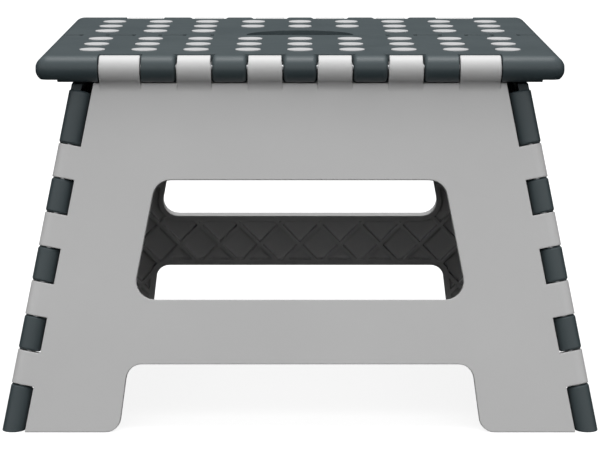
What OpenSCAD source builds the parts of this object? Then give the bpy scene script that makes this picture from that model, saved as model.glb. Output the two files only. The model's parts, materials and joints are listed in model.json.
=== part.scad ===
// Folding step stool: two hinged top halves, two leg panels and four folding end panels.
// Millimetres. X runs along the long edge, Y from front to back, Z up. The floor is Z = 0.

/* [Overall] */
// Height of the deck above the floor
deck_height = 222; // [180:1:300]
// Length of the top along X
top_length = 318; // [260:1:400]
// Width of the top along Y
top_width = 246; // [200:1:320]

/* [Splay] */
// Inward lean of the leg panels, millimetres per millimetre of height
leg_lean = 0.2131; // [0.1:0.0001:0.3]
// Inward lean of the end panels, millimetres per millimetre of height
end_lean = 0.199; // [0.1:0.001:0.3]
// Distance of the corner hinge axes from the centre along X, at the floor
corner_x = 172.4; // [150:0.1:200]
// Distance of the corner hinge axes from the centre along Y, at the floor
corner_y = 150.9; // [120:0.1:180]
// Distance of the end fold hinge outside the corner hinges, at the floor
fold_offset = 9.15; // [4:0.05:14]

/* [Walls] */
// Thickness of the leg and end panels
panel_thick = 6.4; // [4:0.1:10]
// Thickness of the outer skin of a panel
skin = 2.4; // [1.6:0.1:4]
// Width of the crossing ribs inside a panel
rib = 2.6; // [1.6:0.1:4]
// Width of the solid rim round a panel
rim = 4.2; // [2.5:0.1:8]
// Thickness of the deck skin
deck_skin = 3; // [2:0.1:5]

/* [Top hinges] */
// Radius of the hinge edge along the front and the back of the top
edge_r = 8; // [6:0.1:10]
// Gap at each side of a hinge knuckle
gap = 0.35; // [0.2:0.05:0.8]
// Rounding of the shoulders of the deck's inner knuckles
shoulder = 2.7; // [0.5:0.1:4]
// Radius of the long hinge pins
seat_pin_r = 2.5; // [1.5:0.1:4]
// Radius of the two short centre pins
centre_pin_r = 1.5; // [1:0.1:2]

/* [Corner hinges] */
// Radius of the corner knuckles
corner_r = 6.8; // [5:0.05:8]
// Length of one corner knuckle
corner_pitch = 21.07; // [15:0.01:30]
// Start of the lowest leg knuckle along the hinge axis
corner_first = 27.4; // [15:0.1:40]
// Radius of the corner pins
corner_pin_r = 2; // [1:0.1:3]
// Radius of the fold hinge knuckles in the end panels
fold_r = 5; // [4:0.1:6]
// Radius of the fold hinge pins
fold_pin_r = 1.8; // [1:0.1:2.5]

/* [Openings] */
// Bottom of the leg panel window above the floor
window_low = 77.8; // [60:0.1:100]
// Top of the leg panel window above the floor
window_high = 148.2; // [120:0.1:170]
// Height of the gap between the two feet of a leg panel
foot_gap = 39.9; // [20:0.1:60]
// Half length of the handle slot in the rear half of the top
handle_x = 35; // [25:0.5:50]
// Reach of the handle slot from the centre fold
handle_y = 30; // [20:0.5:40]

/* [Grip dots] */
// Spacing of the grip dots along X
dot_pitch = 31.85; // [20:0.05:40]
// Distance of the first row of dots from the centre fold
dot_first = 23.6; // [15:0.1:30]
// Spacing of the rows of dots
dot_row = 30.5; // [20:0.1:40]
// Diameter of a grip dot
dot_d = 15.6; // [10:0.1:20]
// Height of a grip dot above the deck
dot_rise = 0.4; // [0.2:0.1:1.5]

/* [Hidden] */
half_l = top_length/2;
half_w = top_width/2;
hinge_y = half_w - edge_r;
hinge_z = deck_height - edge_r;
end_x = half_l - edge_r;
deck_under = deck_height - deck_skin;
leg_a = atan(leg_lean);
kl = sqrt(1 + leg_lean*leg_lean);
leg_y = corner_y + (corner_r + 0.01)*kl;
end_a = atan(end_lean);
ke = sqrt(1 + end_lean*end_lean);
apex_z = corner_y/leg_lean;
apex_x = corner_x - end_lean*apex_z;
fold_lean = (corner_x + fold_offset - apex_x)/apex_z;
fold_a = atan(fold_lean);
cl_y = (leg_y - corner_y)*cos(leg_a);
cl_z = (leg_y - corner_y)*sin(leg_a);
beta = atan(end_lean/kl);
gam = atan(leg_lean/ke);
leg_top = hinge_z - edge_r - 0.8;
end_top = 203;
edge_cut = corner_r + 0.45;
knuckle_x = [[10.3, 31.7], [52.9, 74.3], [95.6, 120.8]];
// Deck knuckles on the +X side: start, end, rounding of the start, rounding of the end
deck_x = [[31.7, 52.9, shoulder, shoulder], [74.3, 95.6, shoulder, 0.6], [120.8, end_x + gap, 0.6, 0.1]];
corner_n = 4;
pin_end = 209;
lug_x = [[57, 75], [91, 108], [125, 142]];
lug_bounds = [57, 75, 91, 108, 125, 142];
seam_zones = [[75, 91], [108, 125], [142, half_l + 1]];
seam = 0.25;
seam_wide = 1.7;
notch = 3.5;
front_lugs = [[75.5, 90.5], [108.5, 124.5], [142.5, 149]];
light = [0.70, 0.71, 0.72];
dark = [0.30, 0.33, 0.34];
dots_c = [0.84, 0.85, 0.86];
steel = [0.62, 0.63, 0.65];

// Points of a corner rounded with radius r between the neighbours a and c
function unit2(v) = v/norm(v);
function arc_pts(a, b, c, r, n) = let(
    u = unit2(a - b), v = unit2(c - b),
    h = acos(max(-1, min(1, u*v)))/2,
    t = r/tan(h), m = b + unit2(u + v)*(r/sin(h)),
    p = b + u*t, q = b + v*t,
    a0 = atan2(p[1] - m[1], p[0] - m[0]), a1 = atan2(q[1] - m[1], q[0] - m[0]),
    d = a1 - a0 > 180 ? a1 - a0 - 360 : (a1 - a0 < -180 ? a1 - a0 + 360 : a1 - a0))
    [for (i = [0:n]) m + r*[cos(a0 + d*i/n), sin(a0 + d*i/n)]];
function round_poly(p, r, n) = [for (i = [0:len(p) - 1])
    let(a = p[(i + len(p) - 1) % len(p)], b = p[i], c = p[(i + 1) % len(p)])
    each (r[i] > 0 ? arc_pts(a, b, c, r[i], n) : [b])];

// Frames: the outer face of the front leg panel, and the corner hinge axis seen from each panel
module leg_frame() { translate([0, -leg_y, 0]) rotate([-leg_a, 0, 0]) children(); }
module leg_corner() { leg_frame() translate([-corner_x, cl_y, cl_z]) rotate([0, beta, 0]) children(); }
module end_frame() { translate([-corner_x, 0, 0]) rotate([0, end_a, 0]) children(); }
module end_corner() { end_frame() translate([0, -corner_y, 0]) rotate([-gam, 0, 0]) children(); }
module fold_frame() { translate([-corner_x - fold_offset, 0, 0]) rotate([0, fold_a, 0]) children(); }
module both_x() { children(); mirror([1, 0, 0]) children(); }
module slab_y(p, y0, y1) {
    translate([0, y1, 0]) rotate([90, 0, 0]) linear_extrude(height = y1 - y0) polygon(p);
}
module slab_x(p, x0, x1) {
    translate([x0, 0, 0]) rotate([90, 0, 90]) linear_extrude(height = x1 - x0) polygon(p);
}
module rod_x(x0, x1, y, z, r) {
    translate([x0, y, z]) rotate([0, 90, 0]) cylinder(h = x1 - x0, r = r, $fn = 48);
}
module level(z0, z1) { translate([-300, -300, z0]) cube([600, 600, z1 - z0]); }

// Round knuckle along X with its end edges rounded by f0 and f1
module knuckle(x0, x1, y, z, r, f0, f1) {
    translate([x0, y, z]) rotate([0, 90, 0]) rotate_extrude($fn = 64) polygon(concat([[0, 0]],
        [for (i = [0:5]) [r - f0 + f0*sin(18*i), f0 - f0*cos(18*i)]],
        [for (i = [0:5]) [r - f1 + f1*cos(18*i), x1 - x0 - f1 + f1*sin(18*i)]], [[0, x1 - x0]]));
}
// Half ball on the end of a knuckle, its flat side at x0
module ball_end(x0, y, z, r) {
    translate([x0, y, z]) rotate([0, 90, 0]) rotate_extrude($fn = 64)
        polygon(concat([[0, -1], [r, -1]], [for (i = [0:8]) [r*cos(10*i), r*sin(10*i)]], [[0, r]]));
}
function shoulders(x0, x1, z0, z1, f0, f1) = concat([[x0, z0]],
    [for (i = [0:5]) [x0 + f0 - f0*cos(18*i), z1 - f0 + f0*sin(18*i)]],
    [for (i = [0:5]) [x1 - f1 + f1*sin(18*i), z1 - f1 + f1*cos(18*i)]], [[x1, z0]]);

// Half breadth of the leg panel, window and foot gap at height z
function edge_x(z) = corner_x - end_lean*z - edge_cut;
function window_x(z) = 116.3 - 0.198*z;
function foot_x(z) = 108.8 - 0.134*z;
function leg_outline(o) = round_poly([
    [edge_x(0) - o, 0], [edge_x(leg_top + 3) - o, (leg_top + 3)*kl - o],
    [-edge_x(leg_top + 3) + o, (leg_top + 3)*kl - o], [-edge_x(0) + o, 0],
    [-foot_x(0) - o, 0], [-foot_x(foot_gap) - o, (foot_gap + o)*kl],
    [foot_x(foot_gap) + o, (foot_gap + o)*kl], [foot_x(0) + o, 0]],
    [0, 0, 0, 0, 9, 9.5 + o, 9.5 + o, 9], 6);
function window_outline(o) = round_poly([
    [window_x(window_low) + o, (window_low - o)*kl], [window_x(window_high) + o, (window_high + o)*kl],
    [-window_x(window_high) - o, (window_high + o)*kl], [-window_x(window_low) - o, (window_low - o)*kl]],
    [11 + o, 11 + o, 11 + o, 11 + o], 6);

// Fillet between a top knuckle and the outer face: its centre stands off the face by its own radius
fillet_r = 6;
fillet_in = 0.15;
face_off = (hinge_y - leg_y + leg_lean*hinge_z)*cos(leg_a);
fillet_drop = sqrt(pow(fillet_r + edge_r - fillet_in, 2) - pow(fillet_r - face_off, 2));
face_n = [-cos(leg_a), sin(leg_a)];
face_d = [-sin(leg_a), -cos(leg_a)];
fillet_c = [-hinge_y, hinge_z] + face_n*(fillet_r - face_off) + face_d*fillet_drop;
fillet_a = atan2(fillet_drop, fillet_r - face_off);
function fillet_pt(t) = fillet_c - fillet_r*(face_n*cos(t) + face_d*sin(t));
fillet_end = fillet_pt(0)[1];
top_step = 0.5;

// Diamond pockets between crossing ribs, filling x0..x1 by z0..z1
module diamonds(x0, x1, z0, z1, y0, y1) {
    px = 29; pz = 31.6; a = px/2 - rib*0.7; b = pz/2 - rib*0.76;
    for (j = [floor(z0/pz*2):ceil(z1/pz*2)])
        for (i = [floor(x0/px):ceil(x1/px)])
            translate([i*px + (j % 2 == 0 ? 0 : px/2), 0, j*pz/2 + 9.1])
                slab_y([[-a, 0], [0, -b], [a, 0], [0, b]], y0, y1);
}

module leg_panel() {
    difference() {
        union() {
            intersection() {
                leg_frame() difference() {
                    slab_y(leg_outline(0), 0, panel_thick);
                    slab_y(window_outline(0), -1, panel_thick + 1);
                    difference() {
                        intersection() {
                            diamonds(-160, 160, 0, 210, skin, panel_thick + 1);
                            slab_y(leg_outline(rim), skin - 1, panel_thick + 2);
                            translate([-200, skin - 1, 4]) cube([400, 9, (leg_top - 8)*kl - 4]);
                        }
                        slab_y(window_outline(rim), 0, panel_thick + 3);
                    }
                }
                level(0, leg_top);
            }
            // Corner knuckles
            intersection() {
                both_x() leg_corner() for (k = [0:corner_n - 1]) {
                    s0 = corner_first + 2*k*corner_pitch + gap; s1 = s0 + corner_pitch - 2*gap;
                    translate([0, 0, s0]) cylinder(h = s1 - s0, r = corner_r, $fn = 48);
                    translate([0, -cl_y, s0]) cube([edge_cut + 2, panel_thick, s1 - s0]);
                }
                level(0, leg_top);
            }
            // Knuckles of the top hinge, running down into the face of the panel
            both_x() for (k = knuckle_x) {
                knuckle(k[0] + gap, k[1] - gap, -hinge_y, hinge_z, edge_r, 0.8, 0.8);
                slab_x(concat([for (i = [6:-1:0]) fillet_pt(fillet_a*i/6)],
                    [[-leg_y + leg_lean*fillet_end + panel_thick*kl, fillet_end],
                    [-hinge_y + 7.6, hinge_z - 8], [-hinge_y + 7.9, hinge_z - 1.2], [-hinge_y, hinge_z]]),
                    k[0] + gap, k[1] - gap);
            }
        }
        // The tops of the inner knuckles are a little narrower
        both_x() for (i = [0:1]) for (x = [knuckle_x[i][0] + gap - 4.4, knuckle_x[i][1] - gap - top_step])
            translate([x, -hinge_y - 12, hinge_z + 3.4]) cube([4.4 + top_step, 24, 8]);
        rod_x(-130, 130, -hinge_y, hinge_z, seat_pin_r + 0.02);
        both_x() leg_corner() translate([0, 0, -5]) cylinder(h = 230, r = corner_pin_r + 0.02, $fn = 48);
    }
}

// Outline of an end panel in its own plane, front half, with the arch over the floor
function end_y(z) = -corner_y + leg_lean*z + edge_cut;
function end_outline(o) = round_poly([
    [end_y(-1.3) + o, -1.3], [end_y(end_top + 3) + o, (end_top + 3)*ke], [-0.3 - o, (end_top + 3)*ke],
    [-0.3 - o, (34 + o)*ke], [-90 - o, (34 + o)*ke], [-103 - o, -1.3]], [0, 0, 0, 0, 12, 9], 6);
module end_diamonds(x0, x1) {
    py = 29; pz = 31.6; a = py/2 - rib*0.7; b = pz/2 - rib*0.76;
    for (j = [0:14]) for (i = [-6:0])
        translate([0, i*py + (j % 2 == 0 ? 0 : py/2), j*pz/2 + 9.1])
            slab_x([[-a, 0], [0, -b], [a, 0], [0, b]], x0, x1);
}

// Left front end panel. Zones of the fold hinge alternate between the two halves.
fold_zone = 22;
fold_first = 40;
fold_shift = -fold_offset*sin(end_a);
ease = 0.9;
// Upright round rod with eased end edges
module eased_rod(s0, s1, r, e) {
    rotate_extrude($fn = 48)
        polygon([[0, s0], [r - e, s0], [r, s0 + e], [r, s1 - e], [r - e, s1], [0, s1]]);
}
module end_panel(front, loose) {
    difference() {
        union() {
            intersection() {
                end_frame() difference() {
                    slab_x(end_outline(0), -panel_thick - 0.2, -0.2);
                    intersection() {
                        end_diamonds(-panel_thick - 0.2 + skin, 1);
                        slab_x(end_outline(rim), -panel_thick, 2);
                        translate([-20, -200, 4]) cube([40, 200 - rim - 7, (end_top - rim)*ke - 4]);
                    }
                    // Room for the other half's knuckles
                    for (k = [0:7]) if ((k % 2 == 0) != front)
                        translate([-20, -6.6, fold_first + k*fold_zone + fold_shift - gap - 0.25])
                            cube([40, 12, fold_zone + 2*gap + 0.5]);
                }
                level(0, end_top);
            }
            intersection() {
                end_corner() for (k = [0:corner_n]) {
                    s0 = k == 0 ? -6 : corner_first + (2*k - 1)*corner_pitch + gap;
                    s1 = k == corner_n ? 207.8 : corner_first + 2*k*corner_pitch - gap;
                    s2 = k == corner_n ? 203 : s1;
                    eased_rod(s0, s1, corner_r, ease);
                    translate([-panel_thick - 0.05, 0, s0 + 0.1])
                        cube([panel_thick - 0.3, edge_cut + 2, s2 - s0 - 0.2]);
                }
                level(0, hinge_z);
            }
            fold_frame() for (k = [0:7]) if ((k % 2 == 0) == front)
                translate([0, 0, fold_first + k*fold_zone + gap])
                    cylinder(h = (k == 7 ? 11 : fold_zone) - 2*gap, r = fold_r, $fn = 48);
        }
        end_corner() translate([0, 0, -12]) cylinder(h = 240, r = corner_pin_r + 0.07, $fn = 48);
        fold_frame() translate([0, 0, -12]) cylinder(h = 240, r = fold_pin_r + loose, $fn = 48);
    }
}

// Top halves, drawn for the +Y side
rib_y = [9, 38.9, 69.4, 99.5];
module deck_knuckle(x0, x1, f0, f1) {
    knuckle(x0, x1, hinge_y, hinge_z, edge_r, f0, f1);
    translate([0, hinge_y, 0]) rotate([90, 0, 0]) linear_extrude(height = edge_r + 3)
        polygon(shoulders(x0, x1, hinge_z - edge_r, deck_height, f0, f1));
}
// Round rim along an end of the deck
module deck_rim() {
    slab_y(concat([[end_x - 2, hinge_z - edge_r + 0.5]],
        [for (i = [-6:8]) [end_x + edge_r*cos(10*i), hinge_z + edge_r*sin(10*i)]],
        [[end_x - 0.05, deck_height], [end_x - 2, deck_height]]), seam, hinge_y);
    ball_end(end_x, hinge_y, hinge_z, edge_r);
}
module deck_body() {
    cells = 15; cw = (2*end_x - 4)/cells; wall = hinge_y - edge_r - gap;
    difference() {
        union() {
            deck_knuckle(-10.3 + gap, 10.3 - gap, shoulder, shoulder);
            both_x() for (d = deck_x) deck_knuckle(d[0] + gap, d[1] - gap, d[2], d[3]);
            translate([-end_x, seam, deck_under]) cube([2*end_x, wall - seam, deck_skin]);
            both_x() deck_rim();
            difference() {
                slab_x([[rib_y[0], deck_under + 0.5], [rib_y[0], hinge_z - 1],
                    [rib_y[0] + 62, hinge_z - edge_r],
                    [wall, hinge_z - edge_r], [wall, deck_under + 0.5]], -end_x + 0.5, end_x - 0.5);
                for (j = [0:2]) for (i = [0:cells - 1])
                    translate([-end_x + 2 + i*cw + 1.1, rib_y[j] + (j == 0 ? 2.5 : 1.1), hinge_z - 20])
                        cube([cw - 2.2, rib_y[j + 1] - rib_y[j] - (j == 0 ? 3.6 : 2.2), 25]);
            }
        }
        // The ends of the deck stop a little higher, and rise towards the centre fold
        both_x() translate([145.5, -1, hinge_z - 30]) cube([30, hinge_y + 20, 30 - edge_r + 1.9]);
        both_x() slab_x([[-1, hinge_z - 25], [-1, hinge_z + 3.6], [9, hinge_z + 0.1], [71, hinge_z - 7.4],
            [71, hinge_z - 25]], 145.3, 175);
        rod_x(-half_l - 1, half_l + 1, hinge_y, hinge_z, seat_pin_r + 0.07);
        // The centre fold opens wider beside the lugs, with a notch at each step
        both_x() for (x = seam_zones)
            translate([x[0], -1, hinge_z - 12]) cube([x[1] - x[0], seam_wide + 1, 30]);
        both_x() for (x = lug_bounds) translate([x - 1.15, -1, deck_under - 2]) cube([2.3, notch + 1, 10]);
    }
}
module dot_places(row0) {
    for (r = [0:2]) for (k = [-4:4]) if (r > 0 || !row0 || abs(k) > 1)
        translate([k*dot_pitch, dot_first + r*dot_row, 0]) children();
}
module dot_cuts(row0) {
    dot_places(row0) translate([0, 0, deck_height - 0.8]) cylinder(h = 3, r = dot_d/2 + 0.02, $fn = 48);
}
module dots(row0) {
    dot_places(row0) translate([0, 0, deck_height - 0.8]) cylinder(h = 0.8 + dot_rise, r = dot_d/2, $fn = 48);
}
handle_n = 24;
function arch(a, b) = concat([[a, -5]],
    [for (i = [0:handle_n]) [a*cos(180*i/handle_n), b*sin(180*i/handle_n)]], [[-a, -5]]);

// Front half: its lugs carry the two short centre pins
module top_front_half() { color(dark) mirror([0, 1, 0]) difference() {
    union() {
        deck_body();
        both_x() for (l = front_lugs) {
            rod_x(l[0], l[1], 0, hinge_z, centre_pin_r + 1.6);
            slab_x([[0, hinge_z - 3.05], [rib_y[0] + 1, hinge_z - 1], [rib_y[0] + 1, deck_under + 0.5],
                [3.2, deck_under + 0.5], [0.8, hinge_z + 2.9]], l[0], l[1]);
        }
    }
    dot_cuts(false);
    both_x() rod_x(50, 150, 0, hinge_z, centre_pin_r + 0.02);
} }

// Rear half: handle slot, and open hook lugs that the centre pins rest in
module top_rear_half() { color(dark) difference() {
    union() {
        deck_body();
        intersection() {
            translate([0, 0, hinge_z - 0.8]) linear_extrude(height = edge_r + 0.3)
                polygon(arch(handle_x + 3.4, handle_y + 3.4));
            translate([-60, 9, hinge_z - 10]) cube([120, 60, 30]);
        }
        both_x() for (l = lug_x)
            slab_x([[0.1, hinge_z - 4.9], [3.4, hinge_z - 4.9], [rib_y[0] + 1, hinge_z - 1],
                [rib_y[0] + 1, deck_under + 0.5], [4.2, deck_under + 0.5], [3.7, hinge_z + 3],
                [3.7, hinge_z - 2.6], [2.9, hinge_z - 3.4], [0.1, hinge_z - 3.4]], l[0] + 0.6, l[1] - 0.6);
    }
    dot_cuts(true);
    both_x() for (l = front_lugs) rod_x(l[0] - 0.5, l[1] + 0.5, 0.9, hinge_z + 1, 5.2);
    translate([0, 0, hinge_z - 20]) linear_extrude(height = 60) polygon(arch(handle_x, handle_y));
} }
module front_leg_panel() { color(light) leg_panel(); }
module rear_leg_panel() { color(light) mirror([0, 1, 0]) leg_panel(); }
module left_front_end_panel() { color(dark) end_panel(true, 0.02); }
module left_rear_end_panel() { color(dark) mirror([0, 1, 0]) end_panel(false, 0.07); }
module right_front_end_panel() { color(dark) mirror([1, 0, 0]) end_panel(true, 0.02); }
module right_rear_end_panel() { color(dark) mirror([1, 0, 0]) mirror([0, 1, 0]) end_panel(false, 0.7); }
module front_grip_dots() { color(dots_c) mirror([0, 1, 0]) dots(false); }
module rear_grip_dots() { color(dots_c) dots(true); }
module seat_pin(y) { color(steel) rod_x(-half_l + 1.5, half_l - 1.5, y, hinge_z, seat_pin_r); }
module front_seat_hinge_pin() { seat_pin(-hinge_y); }
module rear_seat_hinge_pin() { seat_pin(hinge_y); }
module left_centre_hinge_pin() { color(steel) rod_x(-148.5, -56, 0, hinge_z, centre_pin_r); }
module right_centre_hinge_pin() { color(steel) rod_x(56, 148.5, 0, hinge_z, centre_pin_r); }
module corner_pin() {
    leg_corner() translate([0, 0, 3]) cylinder(h = pin_end - 5, r = corner_pin_r, $fn = 48);
}
module left_front_corner_pin() { color(steel) corner_pin(); }
module left_rear_corner_pin() { color(steel) mirror([0, 1, 0]) corner_pin(); }
module right_front_corner_pin() { color(steel) mirror([1, 0, 0]) corner_pin(); }
module right_rear_corner_pin() { color(steel) mirror([1, 0, 0]) mirror([0, 1, 0]) corner_pin(); }
module fold_pin() { fold_frame() translate([0, 0, 41]) cylinder(h = 162, r = fold_pin_r, $fn = 48); }
module left_end_fold_pin() { color(steel) fold_pin(); }
module right_end_fold_pin() { color(steel) mirror([1, 0, 0]) fold_pin(); }

top_front_half();
top_rear_half();
front_leg_panel();
rear_leg_panel();
left_front_end_panel();
left_rear_end_panel();
right_front_end_panel();
right_rear_end_panel();
front_grip_dots();
rear_grip_dots();
front_seat_hinge_pin();
rear_seat_hinge_pin();
left_centre_hinge_pin();
right_centre_hinge_pin();
left_front_corner_pin();
left_rear_corner_pin();
right_front_corner_pin();
right_rear_corner_pin();
left_end_fold_pin();
right_end_fold_pin();
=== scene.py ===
import json
import math

import bpy
from mathutils import Euler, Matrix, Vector

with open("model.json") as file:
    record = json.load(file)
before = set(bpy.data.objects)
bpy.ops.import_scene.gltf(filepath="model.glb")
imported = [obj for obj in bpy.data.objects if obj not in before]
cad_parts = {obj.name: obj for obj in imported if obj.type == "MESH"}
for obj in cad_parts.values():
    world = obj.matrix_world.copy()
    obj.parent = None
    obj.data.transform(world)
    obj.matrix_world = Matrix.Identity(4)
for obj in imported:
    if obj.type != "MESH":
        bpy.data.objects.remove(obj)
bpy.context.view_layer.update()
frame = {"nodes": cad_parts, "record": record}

GRAIN = 1600.0                     # grain of the moulded surfaces, cycles per metre
GRAIN_H = 0.00006                  # and its depth, m
SCUFF = 0.05                       # strength of the scuffs
RUBBER_EDGE = 0.0004               # rounding of the dots' edges, m
FLOOR_HALF = 12.0                  # half the floor's side, m
FLOOR_WHITE = 0.32                 # diffuse part of the floor, which takes the shadows
FLOOR_GLOW = 0.86                  # emission that lifts it to white
CAMERA_AT = (0.0, -1.4416, 0.3763)
CAMERA_DOWN = 0.192                # tilt of the camera below the horizontal, radians
CAMERA_LENS = 133.23               # mm
SOFTBOX_AT = (0.0, 0.15, 2.15)
SOFTBOX_SIZE = (1.3, 1.2)          # m
SOFTBOX_POWER = 22.0               # W


# ---------------------------------------------------------------- materials
def linear(v):
    """One sRGB value from 0 to 255 as a linear value from 0 to 1."""
    v = v / 255.0
    return ((v + 0.055) / 1.055) ** 2.4 if v > 0.04045 else v / 12.92


def srgb(*c):
    return tuple(linear(v) for v in c) + (1.0,)


def mat(name, metallic=0.0, rough=0.5, ior=1.46):
    m = bpy.data.materials.new(name)
    m.use_nodes = True
    nt = m.node_tree
    for n in list(nt.nodes):
        nt.nodes.remove(n)
    out = nt.nodes.new("ShaderNodeOutputMaterial")
    b = nt.nodes.new("ShaderNodeBsdfPrincipled")
    b.inputs["Metallic"].default_value = metallic
    b.inputs["Roughness"].default_value = rough
    b.inputs["IOR"].default_value = ior
    nt.links.new(b.outputs[0], out.inputs[0])
    return m, nt, b


def noise(nt, coord, scale, detail=3.0, rough=0.5):
    n = nt.nodes.new("ShaderNodeTexNoise")
    n.inputs["Scale"].default_value = scale
    n.inputs["Detail"].default_value = detail
    n.inputs["Roughness"].default_value = rough
    nt.links.new(coord, n.inputs["Vector"])
    return n.outputs["Fac"]


def ramp(nt, fac, stops):
    r = nt.nodes.new("ShaderNodeValToRGB")
    el = r.color_ramp.elements
    while len(el) < len(stops):
        el.new(0.5)
    for e, (p, c) in zip(el, stops):
        e.position = p
        e.color = c if isinstance(c, tuple) else (c, c, c, 1.0)
    nt.links.new(fac, r.inputs["Fac"])
    return r.outputs["Color"]


def math_node(nt, op, a, b):
    n = nt.nodes.new("ShaderNodeMath")
    n.operation = op
    for i, v in enumerate((a, b)):
        if isinstance(v, (int, float)):
            n.inputs[i].default_value = v
        else:
            nt.links.new(v, n.inputs[i])
    return n.outputs[0]


def mix(nt, fac, a, b):
    n = nt.nodes.new("ShaderNodeMix")
    n.data_type = "RGBA"
    for sock, v in ((0, fac), (6, a), (7, b)):
        if isinstance(v, (int, float, tuple)):
            n.inputs[sock].default_value = v
        else:
            nt.links.new(v, n.inputs[sock])
    return n.outputs[2]


def bump(nt, height, strength, dist, normal=None):
    n = nt.nodes.new("ShaderNodeBump")
    n.inputs["Strength"].default_value = strength
    n.inputs["Distance"].default_value = dist
    nt.links.new(height, n.inputs["Height"])
    if normal is not None:
        nt.links.new(normal, n.inputs["Normal"])
    return n.outputs[0]


def rounded(nt, radius):
    """Normal that turns over the edges within radius, and how far it has turned there, from 0 to 1."""
    bev = nt.nodes.new("ShaderNodeBevel")
    bev.samples = 6
    bev.inputs["Radius"].default_value = radius
    geo = nt.nodes.new("ShaderNodeNewGeometry")
    dot = nt.nodes.new("ShaderNodeVectorMath")
    dot.operation = "DOT_PRODUCT"
    nt.links.new(bev.outputs[0], dot.inputs[0])
    nt.links.new(geo.outputs["Normal"], dot.inputs[1])
    return bev.outputs[0], ramp(nt, dot.outputs["Value"], [(0.80, 1.0), (0.995, 0.0)])


def moulded(name, low, high, wear, rough, wear_amount, edge_radius):
    """Moulded polypropylene: fine grain, slow colour drift, paler worn edges, faint scuffs."""
    m, nt, b = mat(name)
    tc = nt.nodes.new("ShaderNodeTexCoord")
    co = tc.outputs["Object"]
    drift = noise(nt, co, 9.0, 4.0, 0.55)
    base = ramp(nt, drift, [(0.32, low), (0.68, high)])
    fleck = noise(nt, co, 900.0, 2.0, 0.6)
    fleck = ramp(nt, fleck, [(0.45, 0.0), (0.75, 1.0)])
    base = mix(nt, math_node(nt, "MULTIPLY", fleck, 0.06), base, high)
    # worn edges
    soft_normal, edge = rounded(nt, edge_radius)
    breakup = ramp(nt, noise(nt, co, 120.0, 5.0, 0.65), [(0.42, 0.0), (0.66, 1.0)])
    amount = math_node(nt, "MULTIPLY", math_node(nt, "MULTIPLY", edge, breakup), wear_amount)
    base = mix(nt, amount, base, wear)
    # long faint scuffs
    mp = nt.nodes.new("ShaderNodeMapping")
    mp.inputs["Rotation"].default_value = (0.3, 0.2, 0.5)
    mp.inputs["Scale"].default_value = (1.0, 14.0, 5.0)
    nt.links.new(co, mp.inputs["Vector"])
    sc = ramp(nt, noise(nt, mp.outputs[0], 42.0, 6.0, 0.7), [(0.66, 0.0), (0.74, 1.0)])
    base = mix(nt, math_node(nt, "MULTIPLY", sc, SCUFF), base, wear)
    nt.links.new(base, b.inputs["Base Color"])
    rr = ramp(nt, noise(nt, co, 34.0, 4.0, 0.6), [(0.3, rough[0]), (0.7, rough[1])])
    nt.links.new(math_node(nt, "ADD", rr, math_node(nt, "MULTIPLY", sc, 0.12)), b.inputs["Roughness"])
    # grain of the mould: noise and small cells together
    g = noise(nt, co, GRAIN, 2.0, 0.5)
    v = nt.nodes.new("ShaderNodeTexVoronoi")
    v.inputs["Scale"].default_value = GRAIN * 0.55
    nt.links.new(co, v.inputs["Vector"])
    g = math_node(nt, "MULTIPLY", g, 0.6)
    cells = math_node(nt, "MULTIPLY", v.outputs["Distance"], 0.5)
    nb = bump(nt, math_node(nt, "ADD", g, cells), 0.5, GRAIN_H, soft_normal)
    # slight sink and flow marks of a large moulding
    nb = bump(nt, noise(nt, co, 22.0, 2.0, 0.4), 0.10, 0.0005, nb)
    nt.links.new(nb, b.inputs["Normal"])
    return m


light = moulded("light_grey_plastic", srgb(204, 204, 204), srgb(208, 208, 208),
                srgb(222, 222, 222), rough=(0.46, 0.54), wear_amount=0.12, edge_radius=0.0011)
dark = moulded("dark_slate_plastic", srgb(59, 70, 74), srgb(64, 75, 78),
               srgb(112, 120, 122), rough=(0.40, 0.48), wear_amount=0.15, edge_radius=0.0007)


def rubber(name, low, high):
    """Soft grip dots: matt, a little mottled."""
    m, nt, b = mat(name, rough=0.6)
    tc = nt.nodes.new("ShaderNodeTexCoord")
    co = tc.outputs["Object"]
    base = ramp(nt, noise(nt, co, 60.0, 4.0, 0.6), [(0.3, low), (0.7, high)])
    spots = ramp(nt, noise(nt, co, 420.0, 5.0, 0.7), [(0.62, 0.0), (0.72, 1.0)])
    base = mix(nt, math_node(nt, "MULTIPLY", spots, 0.10), base, srgb(150, 152, 152))
    nt.links.new(base, b.inputs["Base Color"])
    rr = ramp(nt, noise(nt, co, 90.0, 3.0, 0.5), [(0.3, 0.55), (0.7, 0.70)])
    nt.links.new(rr, b.inputs["Roughness"])
    soft_normal, _ = rounded(nt, RUBBER_EDGE)
    nb = bump(nt, noise(nt, co, 2400.0, 2.0, 0.5), 0.4, 0.00005, soft_normal)
    nt.links.new(nb, b.inputs["Normal"])
    return m


dot_mat = rubber("grip_dot_rubber", srgb(186, 187, 188), srgb(194, 194, 195))


def steel(name):
    """Drawn steel wire, its marks running along the pins."""
    m, nt, b = mat(name, metallic=1.0, rough=0.32)
    tc = nt.nodes.new("ShaderNodeTexCoord")
    co = tc.outputs["Object"]
    mp = nt.nodes.new("ShaderNodeMapping")
    mp.inputs["Scale"].default_value = (0.15, 1.0, 1.0)
    nt.links.new(co, mp.inputs["Vector"])
    n = noise(nt, mp.outputs[0], 1800.0, 3.0, 0.6)
    tint = ramp(nt, n, [(0.3, srgb(150, 151, 153)), (0.7, srgb(188, 189, 191))])
    nt.links.new(tint, b.inputs["Base Color"])
    nt.links.new(ramp(nt, n, [(0.2, 0.26), (0.8, 0.44)]), b.inputs["Roughness"])
    nt.links.new(bump(nt, n, 0.3, 0.00004), b.inputs["Normal"])
    return m


pin_mat = steel("drawn_steel")

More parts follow.
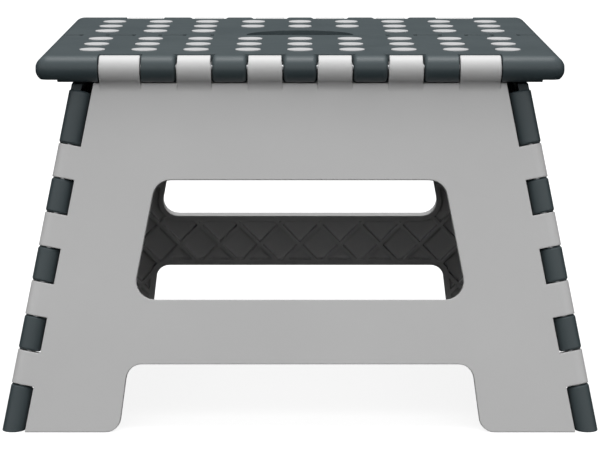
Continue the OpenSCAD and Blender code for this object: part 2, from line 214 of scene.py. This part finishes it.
LOOK = {"dark_plastic": dark, "light_plastic": light, "dot_plastic": dot_mat, "pin_steel": pin_mat}
slots = {s["node"]: s["material_slot"] for s in frame["record"]["subparts"]}

for name, obj in frame["nodes"].items():
    o = obj if not isinstance(obj, str) else bpy.data.objects[obj]
    m = LOOK[slots[name]]
    if not o.material_slots:
        o.data.materials.append(m)
    for s in o.material_slots:
        s.material = m

# ---------------------------------------------------------------- floor, light, camera
def plane(name, s, z):
    me = bpy.data.meshes.new(name)
    me.from_pydata([(-s, -s, z), (s, -s, z), (s, s, z), (-s, s, z)], [], [(0, 1, 2, 3)])
    o = bpy.data.objects.new(name, me)
    bpy.context.scene.collection.objects.link(o)
    return o


floor = plane("floor", FLOOR_HALF, 0.0)
fm = bpy.data.materials.new("floor_white")
fm.use_nodes = True
fnt = fm.node_tree
for n in list(fnt.nodes):
    fnt.nodes.remove(n)
fo = fnt.nodes.new("ShaderNodeOutputMaterial")
fadd = fnt.nodes.new("ShaderNodeAddShader")
fdif = fnt.nodes.new("ShaderNodeBsdfDiffuse")
fem = fnt.nodes.new("ShaderNodeEmission")
fdif.inputs["Color"].default_value = (FLOOR_WHITE, FLOOR_WHITE, FLOOR_WHITE, 1.0)
fem.inputs["Color"].default_value = (1.0, 1.0, 1.0, 1.0)
fem.inputs["Strength"].default_value = FLOOR_GLOW
fnt.links.new(fdif.outputs[0], fadd.inputs[0])
fnt.links.new(fem.outputs[0], fadd.inputs[1])
fnt.links.new(fadd.outputs[0], fo.inputs[0])
floor.data.materials.append(fm)
floor.visible_diffuse = False      # the pale floor throws no light back into the object's shaded inside
floor.visible_glossy = False

scene = bpy.context.scene
world = bpy.data.worlds.new("studio")
scene.world = world
world.use_nodes = True
wt = world.node_tree
for n in list(wt.nodes):
    wt.nodes.remove(n)
wo = wt.nodes.new("ShaderNodeOutputWorld")
wb = wt.nodes.new("ShaderNodeBackground")
wc = wt.nodes.new("ShaderNodeTexCoord")
ws = wt.nodes.new("ShaderNodeSeparateXYZ")
wt.links.new(wc.outputs["Generated"], ws.inputs[0])
height = math_node(wt, "ADD", math_node(wt, "MULTIPLY", ws.outputs["Z"], 0.5), 0.5)
rearward = math_node(wt, "ADD", math_node(wt, "MULTIPLY", ws.outputs["Y"], 0.5), 0.5)
# an even dome over a dark lower half; its rear is dark near the horizon, where the deck would mirror it
front_sky = ramp(wt, height, [(0.49, 0.0), (0.56, 1.35), (0.72, 1.2), (0.86, 0.9)])
rear_sky = ramp(wt, height, [(0.62, 0.0), (0.92, 0.9)])
sky = mix(wt, ramp(wt, rearward, [(0.42, 0.0), (0.60, 1.0)]), front_sky, rear_sky)
wt.links.new(sky, wb.inputs["Color"])
wb.inputs["Strength"].default_value = 1.0
wt.links.new(wb.outputs[0], wo.inputs[0])


def area(name, loc, target, size, power):
    d = bpy.data.lights.new(name, "AREA")
    d.shape = "RECTANGLE"
    d.size, d.size_y = size
    d.energy = power
    o = bpy.data.objects.new(name, d)
    scene.collection.objects.link(o)
    o.location = loc
    o.rotation_euler = (Vector(target) - Vector(loc)).to_track_quat("-Z", "Y").to_euler()
    return o


area("softbox", SOFTBOX_AT, (0, 0, 0.12), SOFTBOX_SIZE, SOFTBOX_POWER)

cam_d = bpy.data.cameras.new("camera")
cam = bpy.data.objects.new("camera", cam_d)
scene.collection.objects.link(cam)
cam_d.sensor_width = 36.0
cam_d.lens = CAMERA_LENS
cam_d.clip_start = 0.05
cam_d.clip_end = 60.0
cam.location = CAMERA_AT
cam.rotation_euler = Euler((math.pi / 2 - CAMERA_DOWN, 0.0, 0.0))
scene.camera = cam

scene.view_settings.view_transform = "Standard"
scene.view_settings.look = "None"
scene.view_settings.exposure = 0.0
scene.view_settings.gamma = 1.0
